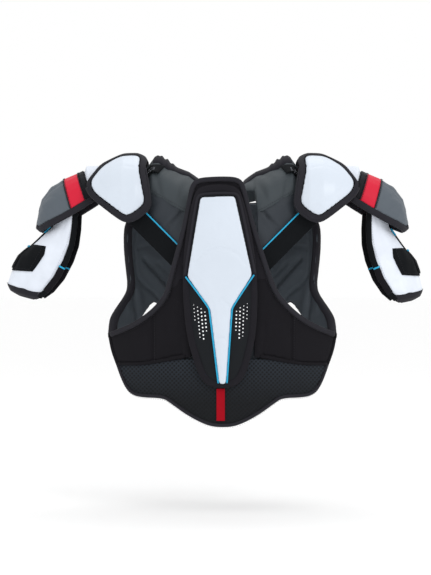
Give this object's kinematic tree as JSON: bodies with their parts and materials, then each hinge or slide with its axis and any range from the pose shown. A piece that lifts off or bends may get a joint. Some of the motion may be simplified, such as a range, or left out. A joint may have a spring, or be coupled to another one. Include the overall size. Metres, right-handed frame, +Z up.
{
  "type": "hockey shoulder pads",
  "caption": "Padded ice hockey shoulder pads with a plated spine guard, lower-back wings, chest panels, domed shoulder caps and jointed upper-arm guards.",
  "frame": {"origin": "midway between the tops of the two shoulders, where the yokes rest on the wearer", "axes": "+X to the wearer's right, +Y out of the wearer's chest, +Z up"},
  "size_m": [0.7588, 0.2605, 0.488],
  "materials": {
    "white_shell": "smooth semi-gloss moulded plastic",
    "white_fabric": "coated woven fabric over thin foam",
    "black_padding": "knitted mesh fabric over foam",
    "embossed_mesh": "sheared knit with an embossed mesh pattern",
    "dark_shell": "matt moulded plastic",
    "grey_shell": "matt moulded foam plastic",
    "red_shell": "satin coated fabric",
    "red_fabric": "woven tape",
    "binding": "folded knit binding",
    "grey_foam": "moulded foam with a brushed face",
    "webbing": "woven elastic webbing",
    "cyan_piping": "extruded satin piping"
  },
  "bodies": {
    "back": {"spine_pad": "black_padding", "spine_border": "binding", "spine_frame": "binding", "spine_shell": "dark_shell", "spine_plate": "white_shell", "spine_piping": "cyan_piping", "back_wing_left": "black_padding", "back_wing_right": "black_padding", "wing_binding": "binding", "lumbar_band": "embossed_mesh", "lumbar_hem": "binding", "red_tab": "red_fabric", "back_liner": "grey_foam", "yoke_back_left": "grey_foam", "yoke_back_right": "grey_foam", "collar_back": "binding", "rear_strap_left": "webbing", "rear_strap_right": "webbing", "rear_strap_edge": "cyan_piping", "cap_tether_back": "webbing", "hang_loop": "webbing"},
    "chest": {"chest_pad_left": "black_padding", "chest_pad_right": "black_padding", "chest_liner_left": "grey_foam", "chest_liner_right": "grey_foam", "armhole_binding": "binding", "pec_plates": "white_shell", "sternum_plate": "white_shell", "belly_pad": "black_padding", "belly_hem": "binding", "yoke_front_left": "grey_foam", "yoke_front_right": "grey_foam", "collar_front": "binding", "cap_tether_front": "webbing"},
    "left_cap": {"cap_pad_left": "black_padding", "cap_plate_left": "white_shell", "cap_binding_left": "binding"},
    "left_arm_guard": {"sleeve_left": "white_fabric", "arm_band_left": "dark_shell", "arm_stripe_left": "red_shell", "arm_shell_left": "grey_shell", "arm_binding_left": "binding"},
    "left_flap": {"flap_pad_left": "white_fabric", "flap_binding_left": "binding", "flap_strap_left": "webbing"},
    "left_wrap_tab": {"wrap_tab_left": "webbing"},
    "left_side_strap": {"side_strap_left": "webbing"},
    "right_cap": {"cap_pad_right": "black_padding", "cap_plate_right": "white_shell", "cap_binding_right": "binding"},
    "right_arm_guard": {"sleeve_right": "white_fabric", "arm_band_right": "dark_shell", "arm_stripe_right": "red_shell", "arm_shell_right": "grey_shell", "arm_binding_right": "binding"},
    "right_flap": {"flap_pad_right": "white_fabric", "flap_binding_right": "binding", "flap_strap_right": "webbing"},
    "right_wrap_tab": {"wrap_tab_right": "webbing"},
    "right_side_strap": {"side_strap_right": "webbing"}
  },
  "joints": [
    {"name": "chest_opening", "type": "hinge", "parent": "back", "child": "chest", "pos_m": [0, 0, 0.018], "axis": [1, 0, 0], "range_deg": [0, 25]},
    {"name": "left_cap_lift", "type": "hinge", "parent": "back", "child": "left_cap", "pos_m": [-0.132, 0, 0.012], "axis": [0, 1, 0], "range_deg": [-3, 30]},
    {"name": "left_arm_lift", "type": "hinge", "parent": "left_cap", "child": "left_arm_guard", "pos_m": [-0.205, 0, -0.03], "axis": [0, 1, 0], "range_deg": [-8, 18]},
    {"name": "left_flap_swing", "type": "hinge", "parent": "left_arm_guard", "child": "left_flap", "pos_m": [-0.278, 0, -0.078], "axis": [0, 1, 0], "range_deg": [-16, 1.5]},
    {"name": "left_wrap_tab_peel", "type": "hinge", "parent": "left_flap", "child": "left_wrap_tab", "pos_m": [-0.34948, 0.01444, -0.1436], "axis": [-0.6185, -0.001, -0.7858], "range_deg": [0, 60]},
    {"name": "left_side_strap_swing", "type": "hinge", "parent": "chest", "child": "left_side_strap", "pos_m": [-0.188, 0.051, -0.318], "axis": [0, 0, -1], "range_deg": [0, 80]},
    {"name": "right_cap_lift", "type": "hinge", "parent": "back", "child": "right_cap", "pos_m": [0.132, 0, 0.012], "axis": [0, -1, 0], "range_deg": [-3, 30]},
    {"name": "right_arm_lift", "type": "hinge", "parent": "right_cap", "child": "right_arm_guard", "pos_m": [0.205, 0, -0.03], "axis": [0, -1, 0], "range_deg": [-8, 18]},
    {"name": "right_flap_swing", "type": "hinge", "parent": "right_arm_guard", "child": "right_flap", "pos_m": [0.278, 0, -0.078], "axis": [0, -1, 0], "range_deg": [-10, 7]},
    {"name": "right_wrap_tab_peel", "type": "hinge", "parent": "right_flap", "child": "right_wrap_tab", "pos_m": [0.33528, 0.01444, -0.15072], "axis": [-0.4733, 0.001, 0.8809], "range_deg": [0, 60]},
    {"name": "right_side_strap_swing", "type": "hinge", "parent": "chest", "child": "right_side_strap", "pos_m": [0.188, 0.051, -0.318], "axis": [0, 0, 1], "range_deg": [0, 80]}
  ]
}
